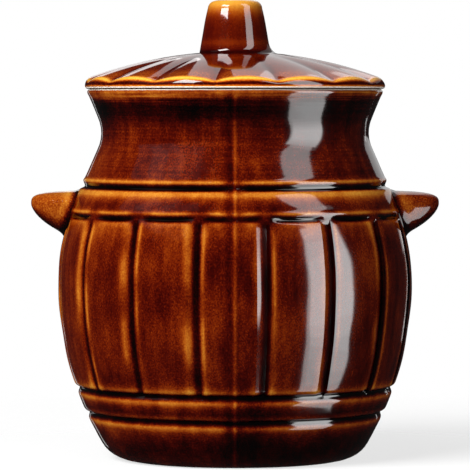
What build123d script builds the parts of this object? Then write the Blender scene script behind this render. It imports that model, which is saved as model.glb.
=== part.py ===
from build123d import *
import math
import os

# Brown glazed stoneware pot in the shape of a small cask, with two ear lugs and a loose fluted lid.
# Millimetres, +Z up. The origin is the centre of the foot, the lugs lie along X, the front faces -Y.

# Barrel
belly_radius = 74.7
belly_height = 74.2
lower_curve_radius = 132.5
upper_curve_radius = 89.5
shoulder_angle = 24.0
neck_inset = 18.1
neck_curve_radius = 15.0
flare_angle = 21.5
rim_rise = 18.7
rim_edge_radius = 1.4
wall = 5.5
floor_thickness = 6.5
floor_corner_radius = 9.0

# Foot
foot_corner_radius = 14.0
foot_ring_width = 7.0
foot_recess_depth = 1.2

# Staves and hoops, pressed into the barrel as round-bottomed grooves
stave_count = 16
stave_turn = -0.6
stave_groove_radius = 1.6
stave_groove_depth = 1.35
groove_runout_radius = 3.2
groove_runout_angle = 75.0
ring_groove_width = 3.6
ring_groove_depth = 1.75
ring_lip_radius = 0.9
lower_hoop_height = 19.4
lower_hoop_width = 10.6
upper_hoop_rise = 28.8
upper_hoop_width = 12.6
stroke_depth = 1.0
stroke_drop = 2.2

# Lugs
lug_reach = 11.3
lug_width = 24.0
lug_drop = 19.5
lug_edge_radius = 4.2
lug_top_gap = 2.8
lug_root_depth = 14.0

# From the lowest section of a lug to its top, as shares of its drop, its reach and its width
lug_height_shares = (0.0, 0.33, 0.58, 0.72, 1.0)
lug_reach_shares = (0.37, 0.76, 0.955, 1.0, 1.0)
lug_width_shares = (0.62, 0.86, 0.97, 1.0, 1.0)

# Lid
lid_overhang = 0.3
lid_rise = 15.7
lid_edge_height = 4.2
lid_band_height = 1.4
lid_edge_radius = 4.0
lid_edge_turn = 55.0
lid_lip_radius = 1.1
lid_thickness = 5.5
lobe_count = 15
lobe_radius = 44.0
lobe_turn = 10.4
flange_depth = 8.0
flange_thickness = 4.5
flange_edge_radius = 1.2
flange_clearance = 1.5

# Knob
knob_base_radius = 15.0
knob_taper_angle = 9.7
knob_side_height = 18.9
knob_corner_radius = 3.4
knob_crown_angle = 9.0
knob_flare_radius = 3.0
knob_foot_edge = 0.5
knob_wall = 5.5
knob_seat_margin = 0.4

# How far a cutting shape runs past the face that it cuts
overrun = 4.0


def polar(centre, radius, angle):
    """Point of a circle in the meridian plane, at an angle in degrees above the horizontal."""
    turn = math.radians(angle)
    return (centre[0] + radius * math.cos(turn), centre[1] + radius * math.sin(turn))


def turned(outline):
    """Solid of revolution about the pot's axis from a closed outline of radius and height."""
    return revolve(Plane.XZ * make_face(outline), Axis.Z)


# Places on the barrel's outer face that follow from the sizes above
lower_centre = (belly_radius - lower_curve_radius, belly_height)
upper_centre = (belly_radius - upper_curve_radius, belly_height)
shoulder_start = polar(upper_centre, upper_curve_radius, shoulder_angle)
shoulder_slope = math.tan(math.radians(shoulder_angle))
neck_radius = belly_radius - neck_inset
shoulder_end_radius = neck_radius + neck_curve_radius * (1 - math.cos(math.radians(shoulder_angle)))
shoulder_end_height = shoulder_start[1] + (shoulder_start[0] - shoulder_end_radius) / shoulder_slope
neck_height = shoulder_end_height + neck_curve_radius * math.sin(math.radians(shoulder_angle))
neck_centre = (neck_radius + neck_curve_radius, neck_height)
flare_slope = math.tan(math.radians(flare_angle))
rim_height = neck_height + rim_rise
stave_pitch = 360 / stave_count


def flare_radius(inset, height):
    """Radius of the flared mouth at a height, at a depth inside the wall's outer face."""
    start = polar(neck_centre, neck_curve_radius + inset, 180 - flare_angle)
    return start[0] + (height - start[1]) * flare_slope


def corner_centre(inset, floor, corner):
    """Centre of the round that joins a floor to the lower curve of the barrel."""
    drop = belly_height - floor - corner
    reach = lower_curve_radius - inset - corner
    return (lower_centre[0] + math.sqrt(reach**2 - drop**2), floor + corner)


def barrel_form(inset, floor, corner):
    """The barrel as a full solid, at a depth inside its outer face, from a floor up to the rim."""
    lower = lower_curve_radius - inset
    upper = upper_curve_radius - inset
    neck = neck_curve_radius + inset
    round_centre = corner_centre(inset, floor, corner)
    round_end = -math.degrees(math.asin((belly_height - round_centre[1]) / (lower - corner)))
    floor_edge = (round_centre[0], floor)
    rim_edge = (flare_radius(inset, rim_height), rim_height)
    outline = [
        Line((0, floor), floor_edge),
        CenterArc(round_centre, corner, -90, 90 + round_end),
        CenterArc(lower_centre, lower, round_end, -round_end),
        CenterArc(upper_centre, upper, 0, shoulder_angle),
        Line(polar(upper_centre, upper, shoulder_angle), polar(neck_centre, neck, 180 + shoulder_angle)),
        CenterArc(neck_centre, neck, 180 + shoulder_angle, -(shoulder_angle + flare_angle)),
        Line(polar(neck_centre, neck, 180 - flare_angle), rim_edge),
        Line(rim_edge, (0, rim_height)),
        Line((0, rim_height), (0, floor)),
    ]
    return turned(outline)


def face_at(height):
    """Point of the barrel's outer face at a height, and the tilt of its outward normal in degrees."""
    if height > shoulder_start[1]:
        radius = shoulder_start[0] - (height - shoulder_start[1]) * shoulder_slope
        return (radius, height), shoulder_angle
    centre, curve = lower_centre, lower_curve_radius
    if height > belly_height:
        centre, curve = upper_centre, upper_curve_radius
    tilt = math.degrees(math.asin((height - belly_height) / curve))
    return polar(centre, curve, tilt), tilt


def around(shape, angles):
    """Copies of a shape turned about the pot's axis."""
    return [Rot(0, 0, angle) * shape for angle in angles]


# Heights of the grooves that bound the two hoops
stave_foot = lower_hoop_height + lower_hoop_width
stroke_height = belly_height + upper_hoop_rise
shoulder_ring = stroke_height + upper_hoop_width
ring_heights = (lower_hoop_height, stave_foot, shoulder_ring)


def ring_groove(height):
    """Ring of V section that presses a continuous hoop groove into the barrel."""
    point, tilt = face_at(height)
    opening = ring_groove_width / 2 * (ring_groove_depth + overrun) / ring_groove_depth
    mouth = polar(point, overrun, tilt)
    root = polar(point, -ring_groove_depth, tilt)
    sides = [polar(mouth, opening, tilt + turn) for turn in (90, -90)]
    return turned(Polyline(root, *sides, close=True))


def ring_lips(barrel):
    """The circular edges where the hoop grooves break the barrel's outer face, and their roots."""
    circles = barrel.edges().filter_by(GeomType.CIRCLE)
    return [
        edge for edge in circles
        if any(abs(edge.arc_center.Z - height) < ring_groove_width for height in ring_heights)
    ]


def stave_groove():
    """Rod that follows the barrel from the lower hoop to the upper one, then curves out of the clay."""
    lift = stave_groove_radius - stave_groove_depth
    start = face_at(stave_foot)[1]
    end = face_at(stroke_height - stroke_drop)[1]
    top = polar(upper_centre, upper_curve_radius + lift, end)
    runout_centre = polar(top, groove_runout_radius, end)
    path = Wire([
        Plane.XZ * CenterArc(lower_centre, lower_curve_radius + lift, start, -start),
        Plane.XZ * CenterArc(upper_centre, upper_curve_radius + lift, 0, end),
        Plane.XZ * CenterArc(runout_centre, groove_runout_radius, end - 180, -groove_runout_angle),
    ])
    section = Plane(origin=path @ 0, z_dir=path % 0) * Circle(stave_groove_radius)
    return sweep(section, path=path)


def hoop_stroke():
    """Straight bar that presses the short stroke under the upper hoop and fades out at both ends."""
    point, tilt = face_at(stroke_height)
    radius, level = polar(point, stave_groove_radius - stroke_depth, tilt)
    length = radius * math.radians(stave_pitch)
    return Pos(radius, 0, level) * Rot(90, 0, 0) * Cylinder(stave_groove_radius, length + overrun)


def grooved_barrel():
    """The barrel's outer form with its hoops and staves, still solid inside."""
    barrel = barrel_form(0, 0, foot_corner_radius)
    barrel -= [ring_groove(height) for height in ring_heights]
    barrel = fillet(ring_lips(barrel), ring_lip_radius)
    groove_angles = [stave_turn + stave_pitch * (i + 1 / 2) for i in range(stave_count)]
    barrel -= around(stave_groove(), groove_angles)
    # The two staves that carry a lug have no stroke
    stroke_angles = [stave_turn + stave_pitch * i for i in range(stave_count) if i % (stave_count // 2)]
    barrel -= around(hoop_stroke(), stroke_angles)
    return barrel


def pot_body(barrel):
    """The barrel hollowed to its wall, with a rounded rim and a foot ring to stand on."""
    body = barrel - barrel_form(wall, floor_thickness, floor_corner_radius)
    rim_edges = body.edges().filter_by(GeomType.CIRCLE).group_by(Axis.Z)[-1]
    body = fillet(rim_edges, rim_edge_radius)
    ring_inside = corner_centre(0, 0, foot_corner_radius)[0] - foot_ring_width
    recess = Cylinder(ring_inside, foot_recess_depth, align=(Align.CENTER, Align.CENTER, Align.MIN))
    return body - recess


def lug(barrel):
    """Ear on the +X side: a lofted wedge with a rounded top, cut to seat on the barrel."""
    top = shoulder_ring - lug_top_gap
    root = belly_radius - lug_root_depth
    reach = lug_root_depth + lug_reach
    sections = []
    for height, out, across in zip(lug_height_shares, lug_reach_shares, lug_width_shares):
        level = top - lug_drop * (1 - height)
        sections.append(Pos(root, 0, level) * Ellipse(reach * out, lug_width * across / 2))
    ear = loft(sections)
    ear = fillet(ear.edges().group_by(Axis.Z)[-1], lug_edge_radius)
    return ear - barrel


# Places on the lid that follow from the sizes above
lid_radius = flare_radius(0, rim_height) + lid_overhang
dome_sag = lid_rise - lid_edge_height
dome_radius = (lid_radius**2 + dome_sag**2) / (2 * dome_sag)
dome_centre = (0, rim_height + lid_rise - dome_radius)
flange_bottom = rim_height - flange_depth
flange_radius = flare_radius(wall, flange_bottom) - flange_clearance

# The knob's foot and bore, and the flat on the crown of the lid that it is luted to
knob_slope = math.tan(math.radians(knob_taper_angle))
knob_lean = math.cos(math.radians(knob_taper_angle))
knob_flare_rise = knob_foot_edge + knob_flare_radius
knob_foot_radius = knob_base_radius - knob_flare_rise * knob_slope + knob_flare_radius / knob_lean
knob_bore_radius = knob_base_radius - knob_wall / knob_lean
knob_seat_radius = knob_foot_radius + knob_seat_margin
knob_seat = dome_centre[1] + math.sqrt(dome_radius**2 - knob_seat_radius**2)


def lid_blank():
    """Round lid with its band, seat, flange and hollow, its upper face left high for the lobes."""
    band_top = rim_height + lid_band_height
    edge_centre = (lid_radius - lid_edge_radius, band_top)
    edge_end = polar(edge_centre, lid_edge_radius, lid_edge_turn)
    lean_back = (knob_seat - edge_end[1]) * math.tan(math.radians(lid_edge_turn))
    lip_centre = (lid_radius - lid_lip_radius, rim_height + lid_lip_radius)
    inside = flange_radius - flange_thickness
    under = dome_radius - lid_thickness
    bore_angle = math.degrees(math.acos(knob_bore_radius / under))
    inside_angle = math.degrees(math.acos(inside / under))
    bore_edge = polar(dome_centre, under, bore_angle)
    outline = [
        Line(bore_edge, (bore_edge[0], knob_seat)),
        Line((bore_edge[0], knob_seat), (edge_end[0] - lean_back, knob_seat)),
        Line((edge_end[0] - lean_back, knob_seat), edge_end),
        CenterArc(edge_centre, lid_edge_radius, 0, lid_edge_turn),
        Line((lid_radius, band_top), (lid_radius, lip_centre[1])),
        CenterArc(lip_centre, lid_lip_radius, 0, -90),
        Line((lip_centre[0], rim_height), (flange_radius, rim_height)),
        Line((flange_radius, rim_height), (flange_radius, flange_bottom)),
        Line((flange_radius, flange_bottom), (inside, flange_bottom)),
        Line((inside, flange_bottom), polar(dome_centre, under, inside_angle)),
        CenterArc(dome_centre, under, inside_angle, bore_angle - inside_angle),
    ]
    blank = turned(outline)
    flange_edges = blank.edges().filter_by(GeomType.CIRCLE).group_by(Axis.Z)[0]
    return fillet(flange_edges, flange_edge_radius)


def lid():
    """The lid with its ring of rounded lobes, which meet in sharp valleys and fade towards the crown."""
    reach = lid_radius + overrun
    half_pitch = 180 / lobe_count
    half_width = reach * math.tan(math.radians(half_pitch))
    sector = make_face(Polyline((0, 0), (reach, -half_width), (reach, half_width), close=True))
    wedge = Pos(0, 0, flange_bottom - overrun) * extrude(sector, flange_depth + lid_rise + overrun)
    ridge = dome_radius - lobe_radius
    section = Plane.YZ * Pos(0, dome_centre[1] + ridge) * Circle(lobe_radius)
    pivot = Axis((0, 0, dome_centre[1]), (0, 1, 0))
    tube = revolve(section, pivot, math.degrees(math.asin(reach / ridge)))
    lobe = lid_blank() & wedge & tube
    lobes = around(lobe, [2 * half_pitch * i + lobe_turn for i in range(lobe_count)])
    return lobes[0].fuse(*lobes[1:])


def knob():
    """Tapered knob with a rounded, slightly crowned top, hollow below and flared where it is luted on."""
    flare_centre = (knob_foot_radius, knob_seat + knob_flare_rise)
    corner_radius = knob_base_radius - knob_side_height * knob_slope - knob_corner_radius / knob_lean
    corner = (corner_radius, knob_seat + knob_side_height)
    crown_edge = polar(corner, knob_corner_radius, 90 - knob_crown_angle)
    crown_radius = crown_edge[0] / math.sin(math.radians(knob_crown_angle))
    crown_centre = (0, crown_edge[1] - crown_radius * math.cos(math.radians(knob_crown_angle)))
    top = crown_centre[1] + crown_radius
    outline = [
        Line((0, knob_seat), (knob_foot_radius, knob_seat)),
        Line((knob_foot_radius, knob_seat), (knob_foot_radius, knob_seat + knob_foot_edge)),
        CenterArc(flare_centre, knob_flare_radius, 180 + knob_taper_angle, 90 - knob_taper_angle),
        Line(
            polar(flare_centre, knob_flare_radius, 180 + knob_taper_angle),
            polar(corner, knob_corner_radius, knob_taper_angle),
        ),
        CenterArc(corner, knob_corner_radius, knob_taper_angle, 90 - knob_crown_angle - knob_taper_angle),
        CenterArc(crown_centre, crown_radius, 90 - knob_crown_angle, knob_crown_angle),
        Line((0, top), (0, knob_seat)),
    ]
    return turned(outline) - knob_hollow(top - knob_wall)


def knob_hollow(ceiling):
    """The knob's hollow: a cone beside the tapered side, closed by a round that reaches a ceiling."""
    lean_in = math.sin(math.radians(knob_taper_angle))
    round_radius = (knob_bore_radius * knob_lean - (ceiling - knob_seat) * lean_in) / (1 - lean_in)
    round_centre = (0, ceiling - round_radius)
    round_start = polar(round_centre, round_radius, knob_taper_angle)
    outline = [
        Line((0, knob_seat), (knob_bore_radius, knob_seat)),
        Line((knob_bore_radius, knob_seat), round_start),
        CenterArc(round_centre, round_radius, knob_taper_angle, 90 - knob_taper_angle),
        Line((0, ceiling), (0, knob_seat)),
    ]
    return turned(outline)


os.makedirs("parts", exist_ok=True)
solid_barrel = grooved_barrel()
right_lug = lug(solid_barrel)
nodes = {
    "pot_body": pot_body(solid_barrel),
    "right_lug": right_lug,
    "left_lug": Rot(0, 0, 180) * right_lug,
    "lid": lid(),
    "knob": knob(),
}
for name, shape in nodes.items():
    export_step(shape, f"parts/{name}.step")
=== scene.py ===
import math

import bpy
import numpy as np
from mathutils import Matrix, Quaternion, Vector


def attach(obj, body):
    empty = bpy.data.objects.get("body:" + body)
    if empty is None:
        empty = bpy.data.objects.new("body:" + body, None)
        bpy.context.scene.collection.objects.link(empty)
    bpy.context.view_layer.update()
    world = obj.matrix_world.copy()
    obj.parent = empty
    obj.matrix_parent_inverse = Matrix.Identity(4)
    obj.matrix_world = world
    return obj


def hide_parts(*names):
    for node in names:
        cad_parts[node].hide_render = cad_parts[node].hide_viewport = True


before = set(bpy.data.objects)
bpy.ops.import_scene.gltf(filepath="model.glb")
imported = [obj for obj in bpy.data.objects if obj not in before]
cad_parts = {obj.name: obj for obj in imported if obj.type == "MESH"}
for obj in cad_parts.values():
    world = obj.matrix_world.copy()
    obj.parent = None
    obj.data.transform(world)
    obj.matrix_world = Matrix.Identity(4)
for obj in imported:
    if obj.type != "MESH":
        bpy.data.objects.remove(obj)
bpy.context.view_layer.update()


# Pot body
# A hollow barrel of stoneware, cast in a two-part mould that leaves a fine seam up its front and back. The
# mould also gives its hoops, staves and short strokes, and the brown glaze breaks pale over their edges.
MM = 0.001
belly_radius = 74.7
belly_height = 74.2
lower_curve_radius = 132.5
upper_curve_radius = 89.5
shoulder_angle = 24.0
neck_inset = 18.1
neck_curve_radius = 15.0
flare_angle = 21.5
rim_rise = 18.7
rim_edge_radius = 1.4
rim_wiped_outer_angle = 28
rim_wiped_inner_angle = 130
wall = 5.5
floor_thickness = 6.5
floor_corner_radius = 9.0
foot_corner_radius = 14.0
foot_ring_width = 7.0
foot_recess_depth = 1.2
foot_edge_radius = 0.5
foot_wiped_past = 0.5
stave_count = 16
stave_turn = math.radians(-0.6)
stave_top = 102.2
flank_share = 0.165
cliff_share = 0.013
flank_slope = 0.2
flank_lip_slope = 0.06
flank_lip_belly_slope = 0.11
flank_lip_belly_reach = 13
flank_lip_width = 1.7
lower_ring = 19.4
lower_ring_depth = 1.4
stave_ring = 30.0
shoulder_ring = 115.6
ring_depth = 1.5
ring_width = 1.35
stroke_ring = 103.0
stroke_depth = 1.35
stroke_width = 1.15
stroke_half_share = 0.37
stroke_bow = 0.12
stroke_ridge = 104.9
ridge_rise = 0.28
shoulder_bead = 117.5
bead_rise = 0.3
bead_width = 1.0
hoop_middle = 108.4
hoop_rise = 0.45
hoop_width = 5.0
front_seam_rise = 0.26
back_seam_rise = 0.22
seam_width = 0.95
seam_wear_reach = 4.5
plain_past_foot = 3
plain_under_rim = 1.0
wave_seed = 11
wave_phases = 6.3
swell_height = 0.035
glaze_allowance = 0.28
pool_reach = 2.8
pool_share = 3.0
plain_depth = 1.4
thinnest = 0.3
thin_softness = 0.25

profile_spacing = 0.1
same_place = 1e-6
end_hole = 1.0
ruler_marks = 6000
exponent_limit = 40
flank_steps = 7
panel_steps = 14
seam_side_steps = 12
column_crowding = 0.5


def polar(centre, radius, degrees):
    """A point of a profile, as radius and height in millimetres."""
    turn = math.radians(degrees)
    return np.array([centre[0] + radius * math.cos(turn), centre[1] + radius * math.sin(turn)])


def arc(centre, radius, start, end):
    """Closely set points along an arc of a profile."""
    count = 2 + int(abs(math.radians(end - start)) * radius / profile_spacing)
    turns = np.radians(np.linspace(start, end, count))
    return np.column_stack([centre[0] + radius * np.cos(turns), centre[1] + radius * np.sin(turns)])


def run(*corners):
    """Closely set points along straight stretches of a profile."""
    stretches = []
    for start, end in zip(corners, corners[1:]):
        stretches.append(np.linspace(start, end, 2 + int(math.dist(start, end) / profile_spacing)))
    return np.vstack(stretches)


def joined(*stretches):
    """One profile with no doubled points, and the distance along it."""
    line = np.vstack(stretches)
    steps = np.hypot(*np.diff(line, axis=0).T)
    line = line[np.concatenate([[True], steps > same_place])]
    return line, np.concatenate([[0], np.cumsum(np.hypot(*np.diff(line, axis=0).T))])


def way_near(line, distance, point):
    """How far along a profile it comes nearest to a point."""
    return distance[np.argmin(np.hypot(*(line - point).T))]


def row_places(length, coarse, fine, places, reach):
    """Where the rows of a mesh lie along a profile: close together near the given places."""
    ruler = np.linspace(0, length, ruler_marks)
    density = np.full_like(ruler, 1 / coarse)
    for place in places:
        density = np.maximum(density, np.exp(-(((ruler - place) / reach) ** 4)) / fine)
    count = np.concatenate([[0], np.cumsum((density[1:] + density[:-1]) / 2 * np.diff(ruler))])
    return np.interp(np.linspace(0, count[-1], 2 + int(count[-1])), count, ruler)


def rows_of(line, distance, rows):
    """Points of a profile at the rows."""
    return np.column_stack([np.interp(rows, distance, line[:, k]) for k in range(2)])


def outward(line, distance, rows):
    """Directions at the rows of a profile that point out of the clay."""
    slope = np.gradient(line, distance, axis=0)
    across = np.interp(rows, distance, slope[:, 1])
    out = np.column_stack([across, -np.interp(rows, distance, slope[:, 0])])
    return out / np.linalg.norm(out, axis=1, keepdims=True)


def crowded(even, amount):
    """Even steps from nothing to one, drawn together at both ends."""
    return even - amount * np.sin(2 * math.pi * even) / (2 * math.pi)


def pressed(distance, depth, width):
    """How far clay drops in a groove, and how much more glaze lies there. A depth below 0 is a ridge."""
    wide = np.hypot(width, pool_reach)
    drop = depth * np.exp(-((distance / width) ** 2))
    return drop, drop - depth * width / wide * np.exp(-((distance / wide) ** 2))


def hump(value, middle, reach):
    """One at the middle, falling smoothly to nothing."""
    return np.exp(-(((value - middle) / reach) ** 2))


def step(value, edge, softness):
    """Nothing below the edge and one above it."""
    return 1 / (1 + np.exp(np.clip((edge - value) / softness, -exponent_limit, exponent_limit)))


def round_points(radius, turn, height):
    """Points of a turned piece, from the radius, turn and height of its rows and columns."""
    return np.stack([radius * np.cos(turn), radius * np.sin(turn), height + 0 * turn], axis=-1)


def keep_at_points(mesh, name, values):
    """Keep one number at each point of a mesh, for its material to read."""
    kept = mesh.attributes.new(name, "FLOAT", "POINT")
    kept.data.foreach_set("value", values.ravel().astype(np.float32))


def turned_piece(name, points, glaze):
    """A ring-shaped mesh from rows and columns of points in millimetres, with its two ends closed."""
    rows, columns = glaze.shape
    index = np.arange(rows * columns).reshape(rows, columns)
    beside = np.roll(index, -1, axis=1)
    faces = np.stack([index[:-1], beside[:-1], beside[1:], index[1:]], axis=-1).reshape(-1, 4).tolist()
    faces += [index[0][::-1].tolist(), index[-1].tolist()]
    mesh = bpy.data.meshes.new(name)
    mesh.from_pydata((points.reshape(-1, 3) * MM).tolist(), [], faces)
    keep_at_points(mesh, "glaze_depth_and_shading", glaze)
    mesh.shade_smooth()
    piece = bpy.data.objects.new(name, mesh)
    bpy.context.collection.objects.link(piece)
    return piece


def wipe(piece, rows, columns):
    """Give some rows of a turned piece its second material. The two end faces keep the first."""
    faces = np.concatenate([np.repeat(rows, columns), [0, 0]])
    piece.data.polygons.foreach_set("material_index", faces.astype(np.int32))


lower_centre = np.array([belly_radius - lower_curve_radius, belly_height])
upper_centre = np.array([belly_radius - upper_curve_radius, belly_height])
shoulder_start = polar(upper_centre, upper_curve_radius, shoulder_angle)
neck_radius = belly_radius - neck_inset
neck_side = neck_radius + neck_curve_radius * (1 - math.cos(math.radians(shoulder_angle)))
neck_foot = shoulder_start[1] + (shoulder_start[0] - neck_side) / math.tan(math.radians(shoulder_angle))
neck_height = neck_foot + neck_curve_radius * math.sin(math.radians(shoulder_angle))
neck_centre = np.array([neck_radius + neck_curve_radius, neck_height])
rim_height = neck_height + rim_rise


def wall_line(inset, floor, corner):
    """The wall from its floor corner to the rim, set in from the outside by inset."""
    reach = lower_curve_radius - inset - corner
    rise = floor + corner - belly_height
    centre = lower_centre + [math.sqrt(reach**2 - rise**2), rise]
    turn = math.degrees(math.asin(rise / reach))
    neck = arc(neck_centre, neck_curve_radius + inset, 180 + shoulder_angle, 180 - flare_angle)
    lean = math.tan(math.radians(flare_angle))
    mouth = np.array([neck[-1][0] + (rim_height - neck[-1][1]) * lean, rim_height])
    barrel = [arc(centre, corner, -90, turn), arc(lower_centre, lower_curve_radius - inset, turn, 0)]
    barrel += [arc(upper_centre, upper_curve_radius - inset, 0, shoulder_angle)]
    line = np.vstack(barrel + [run(barrel[-1][-1], neck[0]), neck])
    return centre, line, mouth


foot_centre, outside, outer_mouth = wall_line(0, 0, foot_corner_radius)
floor_centre, inside, inner_mouth = wall_line(wall, floor_thickness, floor_corner_radius)
foot_inside = foot_centre[0] - foot_ring_width
outer_inset = rim_edge_radius / math.tan(math.radians(45 - flare_angle / 2))
inner_inset = rim_edge_radius / math.tan(math.radians(45 + flare_angle / 2))
outer_round = outer_mouth - [outer_inset, rim_edge_radius]
inner_round = inner_mouth + [inner_inset, -rim_edge_radius]
rim_outside = arc(outer_round, rim_edge_radius, -flare_angle, 90)
rim_inside = arc(inner_round, rim_edge_radius, 90, 180 - flare_angle)
foot_round = np.array([foot_inside + foot_edge_radius, foot_edge_radius])
recess_corner = (foot_inside, foot_recess_depth)
pot_line, pot_way = joined(
    run((end_hole, foot_recess_depth), recess_corner, (foot_inside, foot_edge_radius)),
    arc(foot_round, foot_edge_radius, 180, 270),
    run((foot_round[0], 0), (foot_centre[0], 0)),
    outside,
    run(outside[-1], rim_outside[0]),
    rim_outside,
    run(rim_outside[-1], rim_inside[0]),
    rim_inside,
    run(rim_inside[-1], inside[-1]),
    inside[::-1],
    run((floor_centre[0], floor_thickness), (end_hole, floor_thickness)),
)
foot_start = way_near(pot_line, pot_way, recess_corner)
foot_end = way_near(pot_line, pot_way, [foot_centre[0], 0])
rim_start = way_near(pot_line, pot_way, rim_outside[0])
rim_end = way_near(pot_line, pot_way, rim_inside[-1])
rim_wiped_from = way_near(pot_line, pot_way, polar(outer_round, rim_edge_radius, rim_wiped_outer_angle))
rim_wiped_to = way_near(pot_line, pot_way, polar(inner_round, rim_edge_radius, rim_wiped_inner_angle))
on_outside = (pot_way >= foot_end) & (pot_way <= rim_start)


def way_at(height):
    """How far along the pot's profile the outside reaches a height."""
    return np.interp(height, pot_line[on_outside, 1], pot_way[on_outside])


def wall_radius(height):
    """The outside radius of the wall at a height."""
    return np.interp(height, pot_line[on_outside, 1], pot_line[on_outside, 0])


ring_heights = (lower_ring, stave_ring, stroke_ring, stroke_ridge, shoulder_ring, shoulder_bead)
close_ways = [way_at(ring) for ring in ring_heights]
close_ways += [way_at(stave_top), (rim_start + rim_end) / 2, foot_start]
outer_rows = row_places(rim_end, coarse=2.3, fine=0.5, places=close_ways, reach=4.0)
inner_rows = row_places(pot_way[-1] - rim_end, coarse=4.0, fine=2.0, places=[0], reach=4.0)
pot_rows = np.concatenate([outer_rows, rim_end + inner_rows[1:]])
pot_points = rows_of(pot_line, pot_way, pot_rows)
pot_out = outward(pot_line, pot_way, pot_rows)

stave_pitch = 2 * math.pi / stave_count
flank_foot = 1 - flank_share
seam_place = 0.5 - stave_turn / stave_pitch


def columns_between(start, end, count):
    """Where columns of a mesh lie across part of a stave: closer together at both ends."""
    return start + (end - start) * crowded(np.arange(count) / count, column_crowding)


flank_columns = flank_foot + flank_share * np.arange(flank_steps) / flank_steps
plain_panel = columns_between(cliff_share, flank_foot, panel_steps)
before_seam = columns_between(cliff_share, seam_place, panel_steps)
after_seam = columns_between(seam_place, flank_foot, seam_side_steps)
plain_columns = np.concatenate([[0], plain_panel, flank_columns])
seam_columns = np.concatenate([[0], before_seam, after_seam, flank_columns])
seam_staves = (stave_count // 4 - 1, 3 * stave_count // 4 - 1)
stave_columns = [seam_columns if k in seam_staves else plain_columns for k in range(stave_count)]
stave_turns = [(k + 0.5 + columns) * stave_pitch + stave_turn for k, columns in enumerate(stave_columns)]
pot_turns = np.concatenate(stave_turns)

way = pot_rows[:, None]
height = pot_points[:, 1:]
radius = pot_points[:, :1]
turn = pot_turns[None, :]
share = (turn - stave_turn) / stave_pitch - 0.5
to_groove = (share - np.round(share)) * stave_pitch * radius
across_stave = share - np.floor(share)
from_middle = across_stave - 0.5


def around_from(middle):
    """How far round the wall each point lies from a turn, in millimetres."""
    return (np.mod(turn - middle + math.pi, 2 * math.pi) - math.pi) * radius


def flank_drop(inward):
    """How deep the long flank of a stave groove lies, at a distance in from its upper edge."""
    lip_slope = flank_lip_slope + flank_lip_belly_slope * hump(height, belly_height, flank_lip_belly_reach)
    return flank_slope * inward + lip_slope * np.minimum(inward, flank_lip_width)


down_flank = np.maximum(across_stave - flank_foot, 0) * stave_pitch * radius
up_cliff = flank_drop(flank_share * stave_pitch * radius) * np.maximum(1 - across_stave / cliff_share, 0)
groove_cut = flank_drop(down_flank) + up_cliff
to_front = around_from(1.5 * math.pi)
to_back = around_from(0.5 * math.pi)
on_wall = step(way, foot_end + plain_past_foot, 0.8) * (1 - step(way, rim_start - plain_under_rim, 0.4))
seam = hump(to_front, 0, seam_wear_reach) + hump(to_back, 0, seam_wear_reach)


def worn(lost):
    """One along the wall, less a share that is rubbed away beside the seams of the mould."""
    return 1 - lost * seam


stave_window = step(way, way_at(stave_ring), 0.4) * (1 - step(way, way_at(stave_top) - 0.9, 0.4))
lug_stave = np.abs(np.cos(turn)) > math.cos(stave_pitch / 2)
stroke_window = np.exp(-((np.abs(from_middle) / stroke_half_share) ** 6)) * worn(0.6) * ~lug_stave
bow = stroke_bow * np.cos(2 * math.pi * from_middle)
relief = np.zeros_like(way + turn)
extra = np.zeros_like(relief)
for drop, pool, window in (
    (*pressed(way - way_at(lower_ring), lower_ring_depth, ring_width), worn(0.3)),
    (*pressed(way - way_at(stave_ring), ring_depth, ring_width), worn(0.2)),
    (*pressed(way - way_at(shoulder_ring), ring_depth, ring_width), worn(0.75)),
    (groove_cut, 0, stave_window),
    (*pressed(way - way_at(stroke_ring) + bow, stroke_depth, stroke_width), stroke_window),
    (*pressed(way - way_at(stroke_ridge) + bow, -ridge_rise, bead_width), worn(0.5)),
    (*pressed(way - way_at(shoulder_bead), -bead_rise, bead_width), worn(0.4)),
    (*pressed(way - way_at(hoop_middle), -hoop_rise, hoop_width), 1),
    (*pressed(to_front, -front_seam_rise, seam_width), 1),
    (*pressed(to_back, -back_seam_rise, seam_width), 1),
):
    relief -= drop * window
    extra += pool * window

rng = np.random.default_rng(wave_seed)


def slow_waves(count, fewest, most, shortest, longest):
    """Seeded waves, one by one, with some crests round the wall and some length along it."""
    for _ in range(count):
        crests = rng.integers(fewest, most)
        length = rng.uniform(shortest, longest)
        around = np.cos(crests * turn + rng.uniform(0, wave_phases))
        yield around * np.cos(2 * math.pi * way / length + rng.uniform(0, wave_phases))


for swell in slow_waves(14, fewest=2, most=9, shortest=18, longest=60):
    relief += swell_height * swell
relief = (relief - glaze_allowance) * on_wall

# Bands where the glaze lies deeper or thinner: the height of the middle, the reach and the change of depth.
# Those under the rim are stronger on the left.
pot_glaze_and_shading = plain_depth + pool_share * extra * on_wall
more_on_left = 0.7 - 0.3 * np.cos(turn)
for middle, reach, amount in ((154.4, 1.4, -1.6), (152.6, 1.5, -1.3), (147.2, 4.3, 1.7)):
    pot_glaze_and_shading += amount * more_on_left * hump(height, middle, reach) * on_wall
for middle, reach, amount in (
    (138.0, 6.0, 0.05),
    (125.0, 6.0, -0.22),
    (112.2, 2.0, -0.95),
    (107.4, 1.7, 0.1),
    (97.5, 3.0, -0.30),
    (36.0, 7.0, 0.15),
    (27.4, 1.4, -0.05),
    (23.0, 2.2, 1.0),
    (16.4, 1.4, -0.25),
    (7.5, 6.5, 0.95),
):
    pot_glaze_and_shading += amount * hump(height, middle, reach) * on_wall

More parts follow.
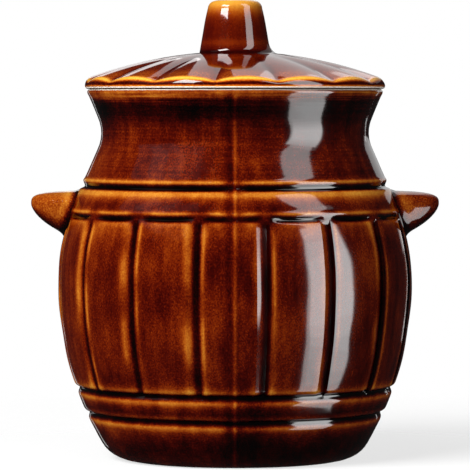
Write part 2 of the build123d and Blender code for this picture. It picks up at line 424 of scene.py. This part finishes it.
# Glaze pools in the stave grooves between two places across them, and runs thin on the lips beside them.
pool_depth = 1.25
before_pool = hump(np.minimum(to_groove + 1.4, 0), 0, 0.8)
after_pool = hump(np.maximum(to_groove - 0.3, 0), 0, 0.6)
lip_wear = np.zeros_like(relief)
for patch in slow_waves(16, fewest=5, most=30, shortest=25, longest=90):
    lip_wear += patch
lip_wear = np.clip(0.8 + 0.2 * lip_wear, 0.3, 1.05)
lips = np.zeros_like(relief)
for middle, reach, amount in ((-4.7, 2.3, 0.85), (2.2, 1.15, 1.1)):
    lips += amount * hump(to_groove, middle, reach)
pot_glaze_and_shading += (pool_depth * before_pool * after_pool - lip_wear * lips) * stave_window * on_wall

# It lies deeper beside the front seam and thinner on the rim. The right of the neck is darkened as painted
# shade. Below the strokes the belly is paled on the left and darkened on the right as painted light and
# shade, following the key lamp on the left.
on_neck = step(height, 119, 1.5)
under_strokes = 1 - step(height, 101, 3)
on_shoulder = step(height, 96, 3)
under_shoulder = 1 - step(height, 97, 3)
beside_seam = hump(to_front, -2.4, 1.7)
rim_loss = 0.7 * step(way, rim_start - 1, 0.5) * (1 - step(way, rim_end + 3, 1.0))
# Painted shade on the right of the neck, and painted light and shade across the belly, laid into the glaze
# depth.
pot_glaze_and_shading += 0.5 * np.maximum(np.cos(turn), 0) * on_neck * on_wall
pot_glaze_and_shading -= 0.1 * (0.5 - np.cos(turn)) * under_strokes * on_wall
pot_glaze_and_shading += 0.5 * beside_seam * on_shoulder * on_wall
pot_glaze_and_shading += 0.2 * beside_seam * (1 - on_shoulder) * on_wall
pot_glaze_and_shading += 0.45 * hump(to_front, 8.0, 5.0) * under_shoulder * on_wall
pot_glaze_and_shading -= rim_loss
pot_glaze_and_shading = thinnest + thin_softness * np.logaddexp(0, (pot_glaze_and_shading - thinnest) / thin_softness)

pot_radius = radius + relief * pot_out[:, :1]
pot_height = height + relief * pot_out[:, 1:]
pot = turned_piece("glazed_pot", round_points(pot_radius, turn, pot_height), pot_glaze_and_shading)

# The corners of the stave grooves stay crisp, and turning marks run round the neck and the foot.
edge_ends = np.empty(2 * len(pot.data.edges), np.int32)
pot.data.edges.foreach_get("vertices", edge_ends)
edge_ends = np.sort(edge_ends.reshape(-1, 2), axis=1)
edge_row, edge_column = np.divmod(edge_ends[:, 0], len(pot_turns))
upright = edge_ends[:, 1] - edge_ends[:, 0] == len(pot_turns)
from_corner = np.abs(across_stave[0, edge_column][:, None] - [0, cliff_share, flank_foot, 1])
at_corner = np.min(from_corner, axis=1) < same_place
crisp = upright & at_corner & (stave_window[edge_row, 0] > 0.05)
pot.data.edges.foreach_set("use_edge_sharp", crisp)
under_rim_marks = 1 + 4 * step(height, 150.5, 1.0)
neck_marks = step(height, 118.5, 0.6) * under_rim_marks * (1 - step(way, rim_start + 1, 0.5))
foot_marks = 0.25 * (1 - step(height, 18, 1))
keep_at_points(pot.data, "turning_marks", neck_marks + foot_marks + 0 * turn)

clay_colour = (0.90, 0.60, 0.09)
glaze_pass = (0.15, 0.021, 0.0045)
glaze_refraction = 1.8
turning_strength = 0.14


def glaze_group():
    """How clay shows through glaze: pale amber where the glaze is thin, black where it is deep."""
    swing_gain = 4
    least_swing = 0.2
    satin_grain = 0.06
    swell_bump = 0.10
    grain_bump = 0.0008
    line_bump = 0.05
    group = bpy.data.node_groups.new("pooled_glaze", "ShaderNodeTree")
    for name, start in (
        ("Depth", 1.0),
        ("Clouds", 0.25),
        ("Grain", 0.3),
        ("Runs", 0.2),
        ("Turning", 0.1),
        ("Satin", 0.03),
    ):
        socket = group.interface.new_socket(name, in_out="INPUT", socket_type="NodeSocketFloat")
        socket.default_value = start
    for name, kind in (("Color", "Color"), ("Roughness", "Float"), ("Height", "Float")):
        group.interface.new_socket(name, in_out="OUTPUT", socket_type="NodeSocket" + kind)
    nodes, links = group.nodes, group.links
    given = nodes.new("NodeGroupInput")
    result = nodes.new("NodeGroupOutput")
    place = nodes.new("ShaderNodeTexCoord")

    def noise(scale, stretch, detail):
        mapping = nodes.new("ShaderNodeMapping")
        mapping.inputs["Scale"].default_value = stretch
        texture = nodes.new("ShaderNodeTexNoise")
        texture.inputs["Scale"].default_value = scale
        texture.inputs["Detail"].default_value = detail
        links.new(place.outputs["Object"], mapping.inputs["Vector"])
        links.new(mapping.outputs["Vector"], texture.inputs["Vector"])
        return texture.outputs["Fac"]

    def maths(operation, first, second=None, third=None):
        node = nodes.new("ShaderNodeMath")
        node.operation = operation
        for socket, value in zip(node.inputs, (first, second, third)):
            if isinstance(value, (int, float)):
                socket.default_value = value
            elif value is not None:
                links.new(value, socket)
        return node.outputs[0]

    depth = given.outputs["Depth"]
    grain = noise(scale=1700, stretch=(1, 1, 0.8), detail=2)
    lines = noise(scale=1300, stretch=(0.02, 0.02, 1), detail=2)
    for name, pattern in (
        ("Clouds", noise(scale=55, stretch=(1, 1, 0.8), detail=3)),
        ("Grain", grain),
        ("Runs", noise(scale=260, stretch=(1, 1, 0.16), detail=3)),
        ("Turning", lines),
    ):
        amount = maths("MULTIPLY", given.outputs[name], swing_gain)
        swing = maths("MULTIPLY_ADD", maths("SUBTRACT", pattern, 0.5), amount, 1)
        depth = maths("MULTIPLY", depth, maths("MAXIMUM", swing, least_swing))
    mix = nodes.new("ShaderNodeCombineColor")
    for k in range(3):
        let_through = maths("MULTIPLY", maths("POWER", glaze_pass[k], depth), clay_colour[k])
        links.new(let_through, mix.inputs[k])
    links.new(mix.outputs["Color"], result.inputs["Color"])
    roughness = maths("MULTIPLY_ADD", grain, satin_grain, given.outputs["Satin"])
    links.new(roughness, result.inputs["Roughness"])
    swell = noise(scale=70, stretch=(1, 1, 1), detail=1)
    swell = maths("MULTIPLY_ADD", swell, swell_bump, maths("MULTIPLY", grain, grain_bump))
    ridges = maths("MULTIPLY", maths("MULTIPLY", lines, given.outputs["Turning"]), line_bump)
    links.new(maths("ADD", swell, ridges), result.inputs["Height"])
    return group


pooled_glaze = glaze_group()


def glaze_material(name, **amounts):
    """Glossy fired glaze, whose depth and turning marks are read from the piece. On the pot and the lid the
    depth also carries painted light and shade.
    """
    material = bpy.data.materials.new(name)
    material.use_nodes = True
    nodes, links = material.node_tree.nodes, material.node_tree.links
    shader = nodes["Principled BSDF"]
    shader.inputs["IOR"].default_value = glaze_refraction
    glaze = nodes.new("ShaderNodeGroup")
    glaze.node_tree = pooled_glaze
    for socket, value in amounts.items():
        glaze.inputs[socket.capitalize()].default_value = value
    depth = nodes.new("ShaderNodeAttribute")
    depth.attribute_name = "glaze_depth_and_shading"
    bump = nodes.new("ShaderNodeBump")
    bump.inputs["Distance"].default_value = MM
    marks = nodes.new("ShaderNodeAttribute")
    marks.attribute_name = "turning_marks"
    faint = nodes.new("ShaderNodeMath")
    faint.operation = "MULTIPLY"
    faint.inputs[1].default_value = turning_strength
    links.new(marks.outputs["Fac"], faint.inputs[0])
    links.new(faint.outputs[0], glaze.inputs["Turning"])
    links.new(depth.outputs["Fac"], glaze.inputs["Depth"])
    links.new(glaze.outputs["Color"], shader.inputs["Base Color"])
    links.new(glaze.outputs["Roughness"], shader.inputs["Roughness"])
    links.new(glaze.outputs["Height"], bump.inputs["Height"])
    links.new(bump.outputs["Normal"], shader.inputs["Normal"])
    return material


def bare_clay():
    """Unglazed fired stoneware, buff and slightly gritty."""
    dark_grit = (0.72, 0.62, 0.48, 1)
    pale_clay = (0.95, 0.91, 0.82, 1)
    material = bpy.data.materials.new("bare_clay")
    material.use_nodes = True
    nodes, links = material.node_tree.nodes, material.node_tree.links
    shader = nodes["Principled BSDF"]
    grit = nodes.new("ShaderNodeTexNoise")
    grit.inputs["Scale"].default_value = 1400
    grit.inputs["Detail"].default_value = 4
    tint = nodes.new("ShaderNodeValToRGB")
    tint.color_ramp.elements[0].position = 0.35
    tint.color_ramp.elements[0].color = dark_grit
    tint.color_ramp.elements[1].position = 0.6
    tint.color_ramp.elements[1].color = pale_clay
    place = nodes.new("ShaderNodeTexCoord")
    bump = nodes.new("ShaderNodeBump")
    bump.inputs["Strength"].default_value = 0.4
    bump.inputs["Distance"].default_value = 0.3 * MM
    shader.inputs["Roughness"].default_value = 0.75
    links.new(place.outputs["Object"], grit.inputs["Vector"])
    links.new(grit.outputs["Fac"], tint.inputs["Fac"])
    links.new(tint.outputs["Color"], shader.inputs["Base Color"])
    links.new(grit.outputs["Fac"], bump.inputs["Height"])
    links.new(bump.outputs["Normal"], shader.inputs["Normal"])
    return material


pot.data.materials.append(glaze_material("body_glaze", satin=0.05, clouds=0.30, grain=0.30, runs=0.20))
wiped_clay = bare_clay()
pot.data.materials.append(wiped_clay)
bare_rows = pot_rows[1:] > foot_start + foot_recess_depth / 2
bare_rows &= pot_rows[:-1] < foot_end + foot_wiped_past
bare_rows |= (pot_rows[:-1] >= rim_wiped_from) & (pot_rows[1:] <= rim_wiped_to)
wipe(pot, bare_rows, len(pot_turns))
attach(pot, "pot")
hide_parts("pot_body")


# Lugs
# Two small ears of solid clay, pressed in a mould and luted to the shoulder with slip. They have a flat top
# for the thumb and a rounded belly, and glaze pools black in the crease where they meet the wall.
lug_axis = 60.0
lug_tip = 85.9
lug_level = 107.4
lug_rise = 5.4
lug_fall = 15.4
lug_half_width = 12.0
lug_top_power = 3.5
lug_belly_power = 1.6
lug_over_power = 0.85
lug_beside_power = 0.9
lug_fillet = 1.3
lug_fillet_reach = 1.0
lug_root_sunk = 1.2
lug_root_guess = 8
lug_root_tries = 30
lug_columns = 72
lug_rows = 46
lug_end_share = 0.985
lug_material = glaze_material("lug_glaze", satin=0.06, clouds=0.55, grain=0.45, runs=0.05)

loop = np.linspace(0, 2 * math.pi, lug_columns, endpoint=False)[None, :]
over = np.sign(np.sin(loop)) * np.abs(np.sin(loop)) ** lug_over_power
beside = np.sign(np.cos(loop)) * np.abs(np.cos(loop)) ** lug_beside_power


def lug_section(reach):
    """How far across and how high a lug's section lies all round, at a reach from the pot's axis."""
    out = np.clip((reach - lug_axis) / (lug_tip - lug_axis), 0, 1)
    rise = lug_rise * (1 - out**lug_top_power) ** (1 / lug_top_power)
    fall = lug_fall * (1 - out**lug_belly_power) ** (1 / lug_belly_power)
    across = lug_half_width * np.sqrt(1 - out**2) * beside
    return across, lug_level + np.where(over > 0, rise, fall) * over


root = np.full_like(loop, lug_axis + lug_root_guess)
for _ in range(lug_root_tries):
    across, level = lug_section(root)
    root = 0.5 * root + 0.5 * np.sqrt(wall_radius(level) ** 2 - across**2)
along = np.linspace(0, lug_end_share, lug_rows)[:, None]
reach = root - lug_root_sunk + (lug_tip - root + lug_root_sunk) * along**2 * (3 - 2 * along)
across, level = lug_section(reach)
off_wall = np.maximum(reach - root, 0)
spread = lug_fillet * np.exp(-off_wall / lug_fillet_reach)
across = across + spread * beside
level = level + spread * over * np.where(over > 0, 0.5, 1)

# Glaze is deep in the crease and under the belly, and thin just off the wall and along the top.
lugs = []
for lug_name, side, lug_depth in (("left_lug", -1, 0.63), ("right_lug", 1, 1.13)):
    lug_glaze = lug_depth + 2.2 * hump(off_wall, 0, 1.5) - 0.2 * hump(off_wall, 4, 2)
    lug_glaze = lug_glaze + 1.2 * hump(over, -1, 0.35) - 0.2 * hump(over, 1, 0.25)
    lug_shape = np.stack([side * reach, side * across, level], axis=-1)
    lug = turned_piece("glazed_" + lug_name, lug_shape, lug_glaze)
    lug.data.materials.append(lug_material)
    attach(lug, "pot")
    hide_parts(lug_name)
    lugs.append(lug)


# Lid
# A loose domed lid of the same stoneware, pressed in a mould with fifteen soft lobes and a scalloped edge.
# A flange under it drops into the mouth. The glaze is thinnest, almost golden, along the edge of the lobes.
lid_overhang = 0.3
lid_rise = 15.7
lid_edge_height = 4.2
lid_edge_radius = 4.0
lid_edge_worn_angle = 48
lid_lip_radius = 1.1
lip_wiped_from_angle = -52
lip_wiped_to_angle = -2
lid_thickness = 5.5
lobe_count = 15
lobe_radius = 44.0
lobe_turn = math.radians(10.4)
lobe_blend = 0.3
lobe_steps = 26
lobe_crowding = 0.6
plain_crown_width = 6
lobe_run_in = 10
waver_height = 0.02
waver_crests = 5
waver_reach = 9
flange_depth = 8.0
flange_thickness = 4.5
flange_edge_radius = 1.2
flange_clearance = 1.5
lid_bore = 9.42
lid_plain_depth = 1.2
knob_crease_radius = 18

lid_radius = outer_mouth[0] + lid_overhang
dome_sag = lid_rise - lid_edge_height
dome_radius = (lid_radius**2 + dome_sag**2) / (2 * dome_sag)
dome_centre = np.array([0, rim_height + lid_rise - dome_radius])
dome_bore = math.degrees(math.acos(lid_bore / dome_radius))
flange_bottom = rim_height - flange_depth
flange_radius = np.interp(flange_bottom, inside[:, 1], inside[:, 0]) - flange_clearance
flange_inside = flange_radius - flange_thickness
flange_low = flange_bottom + flange_edge_radius
edge_side = lid_radius - lid_edge_radius
edge_reach = dome_radius - lid_edge_radius
edge_centre = np.array([edge_side, dome_centre[1] + math.sqrt(edge_reach**2 - edge_side**2)])
edge_turn = math.degrees(math.acos(edge_side / edge_reach))
edge_top = polar(edge_centre, lid_edge_radius, edge_turn)
under_radius = dome_radius - lid_thickness
under_bore = math.degrees(math.acos(lid_bore / under_radius))
under_edge = math.degrees(math.acos((flange_inside - flange_edge_radius) / under_radius))
under_line = arc(dome_centre, under_radius, under_bore, under_edge)
under_corner = (flange_inside, under_line[-1][1] - flange_edge_radius)
lip_centre = np.array([lid_radius - lid_lip_radius, rim_height + lid_lip_radius])
lid_line, lid_way = joined(
    under_line,
    run(under_line[-1], under_corner, (flange_inside, flange_low)),
    arc((flange_inside + flange_edge_radius, flange_low), flange_edge_radius, 180, 270),
    arc((flange_radius - flange_edge_radius, flange_low), flange_edge_radius, -90, 0),
    run((flange_radius, flange_low), (flange_radius, rim_height), (lip_centre[0], rim_height)),
    arc(lip_centre, lid_lip_radius, -90, 0),
    run((lid_radius, lip_centre[1]), (lid_radius, edge_centre[1])),
    arc(edge_centre, lid_edge_radius, 0, edge_turn),
    arc(dome_centre, dome_radius, edge_turn, dome_bore),
)
seat_start = way_near(lid_line, lid_way, [flange_radius, rim_height])
band_start = way_near(lid_line, lid_way, [lid_radius, lip_centre[1]])
edge_end = way_near(lid_line, lid_way, edge_top)
edge_way = way_near(lid_line, lid_way, polar(edge_centre, lid_edge_radius, lid_edge_worn_angle))
lip_wiped_from = way_near(lid_line, lid_way, polar(lip_centre, lid_lip_radius, lip_wiped_from_angle))
lip_wiped_to = way_near(lid_line, lid_way, polar(lip_centre, lid_lip_radius, lip_wiped_to_angle))

flange_rows = row_places(seat_start, coarse=4.0, fine=1.2, places=[seat_start - 10], reach=4)
top_length = lid_way[-1] - seat_start
top_rows = row_places(top_length, coarse=1.6, fine=0.32, places=[band_start - seat_start + 3], reach=5.5)
lid_rows = np.concatenate([flange_rows[:-1], seat_start + top_rows])
lid_points = rows_of(lid_line, lid_way, lid_rows)
lobe_pitch = 2 * math.pi / lobe_count
lobe_turns = crowded(np.arange(lobe_steps) / lobe_steps, lobe_crowding)
lid_turns = np.concatenate([(k + lobe_turns) * lobe_pitch for k in range(lobe_count)])
lid_turns = lid_turns + lobe_turn + lobe_pitch / 2

way = lid_rows[:, None]
radius = lid_points[:, :1]
height = lid_points[:, 1:]
turn = lid_turns[None, :]
lobe_share = (turn - lobe_turn) / lobe_pitch
from_crest = (lobe_share - np.round(lobe_share)) * lobe_pitch


def lobe_fall(across):
    """How far one round lobe falls away, at a distance across from its crest."""
    return lobe_radius - np.sqrt(lobe_radius**2 - across**2)


def lobe_drop(reach):
    """How far the lid's top lies under the plain dome: round lobes that meet in soft valleys."""
    near = lobe_fall(reach * np.sin(from_crest))
    far = lobe_fall(reach * np.sin(lobe_pitch - np.abs(from_crest)))
    soft = -lobe_blend * np.log(np.exp(-near / lobe_blend) + np.exp(-far / lobe_blend))
    return np.maximum(soft, 0)


squeeze = lobe_drop(edge_top[0]) / (edge_top[1] - lip_centre[1])
off_crown = np.clip((radius - lid_bore - plain_crown_width) / lobe_run_in, 0, 1)
drop = np.where(way > edge_end, lobe_drop(radius) * off_crown, (height - lip_centre[1]) * squeeze)
waver = waver_height * (way > edge_end) * np.sin(waver_crests * turn + radius / waver_reach)
lid_height = height - drop * (way > band_start) - waver

to_valley = (lobe_pitch / 2 - np.abs(from_crest)) * radius
on_top = step(way, edge_end - 1.5, 0.5)
# Painted shade: the seat and the underside of the lip are darkened where the lid sits on the rim, to stand
# for the shadow in the gap between them.
painted_gap_shade = 1.2 * (1 - step(way, lip_wiped_from, 0.1)) * step(way, seat_start - 1, 0.3)
lid_glaze = lid_plain_depth + 0.4 * hump(to_valley, 0, 2.0) * on_top
for middle, reach, amount in (
    (edge_way, 2.1, -1.0),
    (edge_way + 5.5, 4.0, -0.4),
    (band_start + 1.35, 0.75, 1.1),
    (band_start + 0.1, 0.35, -0.9),
):
    lid_glaze = lid_glaze + amount * hump(way, middle, reach)
lid_glaze = lid_glaze + 0.8 * hump(radius, knob_crease_radius, 1.8) * on_top
# Adds the painted shade of the gap under the lid.
lid_glaze = lid_glaze + painted_gap_shade
lid = turned_piece("glazed_lid", round_points(radius, turn, lid_height), lid_glaze)
lid.data.materials.append(glaze_material("lid_glaze", satin=0.03, clouds=0.10, grain=0.40, runs=0.0))
lid.data.materials.append(wiped_clay)
wipe(lid, (lid_rows[:-1] > lip_wiped_from) & (lid_rows[1:] < lip_wiped_to), len(lid_turns))
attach(lid, "lid")
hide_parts("lid")


# Knob
# A hollow tapered knob, luted on the crown of the lid. The slip was wiped smooth by hand, so its foot flows
# into the lid on one side and leaves a crease on the other. The glaze has run down from its top edge.
knob_base_radius = 15.0
knob_taper_angle = 9.7
knob_side_height = 18.9
knob_corner_radius = 3.4
knob_crown_angle = 9.0
knob_crown_end_angle = 89.4
knob_wall = 5.5
knob_sunk = 0.4
knob_flare = 3.0
knob_flare_swing = 1.9
knob_flare_sunk = 0.6
knob_seat_radius = 17.845
knob_hollow_chamfer = 1
knob_hollow_end = 0.6
knob_ease_start = 11
knob_ease_reach = 7
knob_ease_softness = 160
knob_middle = 3
knob_tucked_under = 0.2
knob_columns = 128
knob_plain_depth = 1.4
knob_top_loss = 1.28

knob_seat = dome_centre[1] + math.sqrt(dome_radius**2 - knob_seat_radius**2)
knob_slope = math.tan(math.radians(knob_taper_angle))
knob_lean = math.cos(math.radians(knob_taper_angle))
corner_side = knob_base_radius - knob_side_height * knob_slope - knob_corner_radius / knob_lean
corner_centre = np.array([corner_side, knob_seat + knob_side_height])
crown_start = polar(corner_centre, knob_corner_radius, 90 - knob_crown_angle)
crown_radius = crown_start[0] / math.sin(math.radians(knob_crown_angle))
crown_centre = np.array([0, crown_start[1] - crown_radius * math.cos(math.radians(knob_crown_angle))])
knob_top = crown_centre[1] + crown_radius
side_start = np.array([knob_base_radius + knob_sunk * knob_slope, knob_seat - knob_sunk])
hollow_top = knob_top - knob_wall
hollow_side = lid_bore - (hollow_top - knob_seat) * knob_slope
hollow_corner = (hollow_side, hollow_top - knob_hollow_chamfer)
knob_line, knob_way = joined(
    run((knob_hollow_end, hollow_top), (hollow_side - knob_hollow_chamfer, hollow_top), hollow_corner),
    run(hollow_corner, (lid_bore, knob_seat - knob_sunk), side_start),
    run(side_start, polar(corner_centre, knob_corner_radius, knob_taper_angle)),
    arc(corner_centre, knob_corner_radius, knob_taper_angle, 90 - knob_crown_angle),
    arc(crown_centre, crown_radius, 90 - knob_crown_angle, knob_crown_end_angle),
)
side_way = way_near(knob_line, knob_way, side_start)
side_length = knob_way[-1] - side_way
corner_place = way_near(knob_line, knob_way, crown_start) - side_way - 2
hollow_rows = row_places(side_way, coarse=2.5, fine=1.2, places=[side_way], reach=2)
side_rows = row_places(side_length, coarse=0.9, fine=0.3, places=[0, corner_place], reach=4)
knob_rows = np.concatenate([hollow_rows[:-1], side_way + side_rows])
knob_points = rows_of(knob_line, knob_way, knob_rows)
knob_turns = np.linspace(0, 2 * math.pi, knob_columns, endpoint=False)

way = knob_rows[:, None]
radius = knob_points[:, :1]
height = knob_points[:, 1:]
turn = knob_turns[None, :]
on_side = way >= side_way
flare = knob_flare + knob_flare_swing * np.cos(turn)
rise = np.clip((height - knob_seat + knob_flare_sunk) / flare, 0, 1)
foot = flare * (1 - np.sqrt(1 - (1 - rise) ** 2)) * on_side
ease = np.clip(height - knob_top + knob_ease_start, 0, knob_ease_reach) ** 2 / knob_ease_softness
ease = ease * (radius > knob_middle) * on_side * np.clip(radius / corner_side, 0, 1)
knob_round = radius + foot - ease
under_lid_top = dome_centre[1] + np.sqrt(dome_radius**2 - knob_round**2) - knob_tucked_under
knob_height = np.where(on_side & (rise <= 0.001), np.minimum(height, under_lid_top), height)
knob_glaze = knob_plain_depth - knob_top_loss * step(height, knob_top - 6.3, 1.8)
for middle, reach, amount in ((knob_seat + 4.5, 1.5, -0.35), (knob_seat + 0.4, 1.0, 0.9)):
    knob_glaze = knob_glaze + amount * hump(height, middle, reach)
knob = turned_piece("glazed_knob", round_points(knob_round, turn, knob_height), knob_glaze + 0 * turn)
knob.data.materials.append(glaze_material("knob_glaze", satin=0.03, clouds=0.12, grain=0.12, runs=0.12))
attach(knob, "lid")
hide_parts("knob")


# Floor, light and camera
# A white table in a white room, seen from a little above the shoulder through a long lens. Hidden lamps
# make a tall strip of light on the right, soft windows high on the left, and pale panels and lines behind.
floor_size = 1.6
floor_white = (0.92, 0.92, 0.92, 1)
floor_fade_start = 0.08
floor_fade_end = 0.4
floor_strength = 0.3
belly_aim = 0.1
crown_aim = 0.185
core_count = 5
room_white = (1, 1, 1, 1)
room_light = 0.2
room_in_gloss = 0.015
room_behind = 1.0
look_height = 0.1512
camera_distance = 1.6
camera_pitch = 2.04
camera_lens = 291.0

floor_mesh = bpy.data.meshes.new("floor")
half = floor_size / 2
floor_corners = [(-half, -half, 0), (half, -half, 0), (half, half, 0), (-half, half, 0)]
floor_mesh.from_pydata(floor_corners, [], [(0, 1, 2, 3)])
floor = bpy.data.objects.new("floor", floor_mesh)
bpy.context.collection.objects.link(floor)
floor_paint = bpy.data.materials.new("floor_paint")
floor_paint.use_nodes = True
nodes, links = floor_paint.node_tree.nodes, floor_paint.node_tree.links
nodes["Principled BSDF"].inputs["Base Color"].default_value = floor_white
nodes["Principled BSDF"].inputs["Roughness"].default_value = 0.9
spot = nodes.new("ShaderNodeTexCoord")
far = nodes.new("ShaderNodeVectorMath")
far.operation = "LENGTH"
fade = nodes.new("ShaderNodeMapRange")
fade.interpolation_type = "SMOOTHSTEP"
fade.inputs["From Min"].default_value = floor_fade_start
fade.inputs["From Max"].default_value = floor_fade_end
fade.inputs["To Min"].default_value = floor_strength
fade.inputs["To Max"].default_value = 0.0
links.new(spot.outputs["Object"], far.inputs[0])
links.new(far.outputs["Value"], fade.inputs["Value"])
links.new(fade.outputs["Result"], nodes["Principled BSDF"].inputs["Alpha"])
floor_mesh.materials.append(floor_paint)
floor.visible_glossy = False


def soft_box(name, pieces, aim, azimuth, elevation, distance, width, tall, glow, lean=0):
    """A rectangular lamp on some pieces, or on all for None, that faces a height on the pot's axis.

    Azimuth, elevation and lean are degrees. Azimuth 0 is at the camera and grows to the right.
    """
    lamp = bpy.data.lights.new(name, "AREA")
    lamp.shape = "RECTANGLE"
    lamp.size = width
    lamp.size_y = tall
    lamp.energy = glow * math.pi * width * tall
    stand = bpy.data.objects.new(name, lamp)
    flat = math.radians(azimuth)
    up = math.radians(elevation)
    way_out = Vector((math.sin(flat) * math.cos(up), -math.cos(flat) * math.cos(up), math.sin(up)))
    stand.location = Vector((0, 0, aim)) + way_out * distance
    facing = way_out.to_track_quat("Z", "Y") @ Quaternion((0, 0, 1), math.radians(lean))
    stand.rotation_euler = facing.to_euler()
    stand.visible_camera = False
    bpy.context.collection.objects.link(stand)
    if pieces:
        stand.light_linking.receiver_collection = bpy.data.collections.new(name + "_on")
        for piece in pieces:
            stand.light_linking.receiver_collection.objects.link(piece)
    return stand


# Three lamps light the colour of the glaze and are not mirrored in it.
upper = [lid, knob]
soft_box("left_key", None, belly_aim, -40, 34, 1.6, 1.0, 0.8, 19.8).visible_glossy = False
soft_box("right_fill", None, belly_aim, 60, 25, 1.6, 0.8, 0.8, 3.6).visible_glossy = False
soft_box("table_bounce", [lid], crown_aim, -6, -14, 0.5, 0.6, 0.1, 14.0).visible_glossy = False

# The others are mirrored in the glaze and do not light its colour. The cores stand one before another, each
# shorter than the last, so that the strip is brightest at its middle.
mirrored = [soft_box("right_strip", [pot], belly_aim, 63.8, -8, 1.4, 0.83, 1.96, 2.4, 6)]
for k in range(core_count):
    core_distance = 1.4 - 0.01 * k
    core_tall = 1.8 - 0.3 * k
    core = soft_box(f"right_core_{k}", [pot], belly_aim, 64.2, 0, core_distance, 0.79, core_tall, 0.42, 6)
    mirrored.append(core)
mirrored += [
    soft_box("right_top", [pot], belly_aim, 58.5, 42, 1.4, 0.48, 0.75, 2.05, 8),
    soft_box("right_glint", upper, crown_aim, 55, 20, 1.4, 0.62, 2.2, 2.9, 6),
    soft_box("lug_glint", lugs, belly_aim, 60, -27, 1.4, 0.9, 0.98, 2.5),
    soft_box("left_glint", [lid], crown_aim, -41.5, 40, 1.6, 0.5, 0.95, 9.0),
    soft_box("knob_glint", [knob], crown_aim, -46, 34.5, 1.6, 0.83, 0.59, 10.5),
    soft_box("left_haze", [pot, lid, knob], belly_aim, -74, 38, 2.0, 1.3, 1.0, 0.085),
    soft_box("left_mist", [pot], belly_aim, -46, 37, 1.98, 0.9, 0.5, 0.06, 25),
    soft_box("left_veil", [pot], belly_aim, -72, 37, 1.96, 0.35, 0.6, 0.1, -20),
    soft_box("back_wall", upper + lugs, crown_aim, 174.2, 27, 2.2, 0.72, 1.62, 0.8),
    soft_box("back_edge", upper + lugs, crown_aim, 187, 11.5, 2.2, 0.27, 0.58, 1.2),
    soft_box("back_line", upper, crown_aim, 168, 29, 2.2, 0.19, 0.7, 0.85),
    soft_box("back_side", upper + lugs, crown_aim, 152, 30, 2.2, 1.0, 1.6, 0.21),
    soft_box("back_low", [pot], belly_aim, 163, 8.5, 2.2, 1.43, 0.46, 0.67),
    soft_box("back_thread", [pot], belly_aim, 149.5, -1.5, 2.2, 0.07, 0.6, 1.3),
    soft_box("left_thread", [pot], belly_aim, -161, -6, 2.2, 0.09, 1.0, 0.95),
]
for lamp in mirrored:
    lamp.visible_diffuse = False

room = bpy.data.worlds.new("studio")
room.use_nodes = True
bpy.context.scene.world = room
nodes, links = room.node_tree.nodes, room.node_tree.links
light_path = nodes.new("ShaderNodeLightPath")
nodes["Background"].inputs["Color"].default_value = room_white
nodes["Background"].inputs["Strength"].default_value = room_light
light = nodes["Background"].outputs["Background"]
for ray, strength in (("Is Glossy Ray", room_in_gloss), ("Is Camera Ray", room_behind)):
    white = nodes.new("ShaderNodeBackground")
    white.inputs["Color"].default_value = room_white
    white.inputs["Strength"].default_value = strength
    choose = nodes.new("ShaderNodeMixShader")
    links.new(light_path.outputs[ray], choose.inputs["Fac"])
    links.new(light, choose.inputs[1])
    links.new(white.outputs["Background"], choose.inputs[2])
    light = choose.outputs["Shader"]
links.new(light, nodes["World Output"].inputs["Surface"])

lens = bpy.data.cameras.new("camera")
lens.lens = camera_lens
lens.clip_start = 0.05
camera = bpy.data.objects.new("camera", lens)
camera.location = (0, -camera_distance, look_height)
camera.rotation_euler = (math.radians(90 - camera_pitch), 0, 0)
bpy.context.collection.objects.link(camera)
bpy.context.scene.camera = camera
bpy.context.scene.view_settings.view_transform = "Standard"
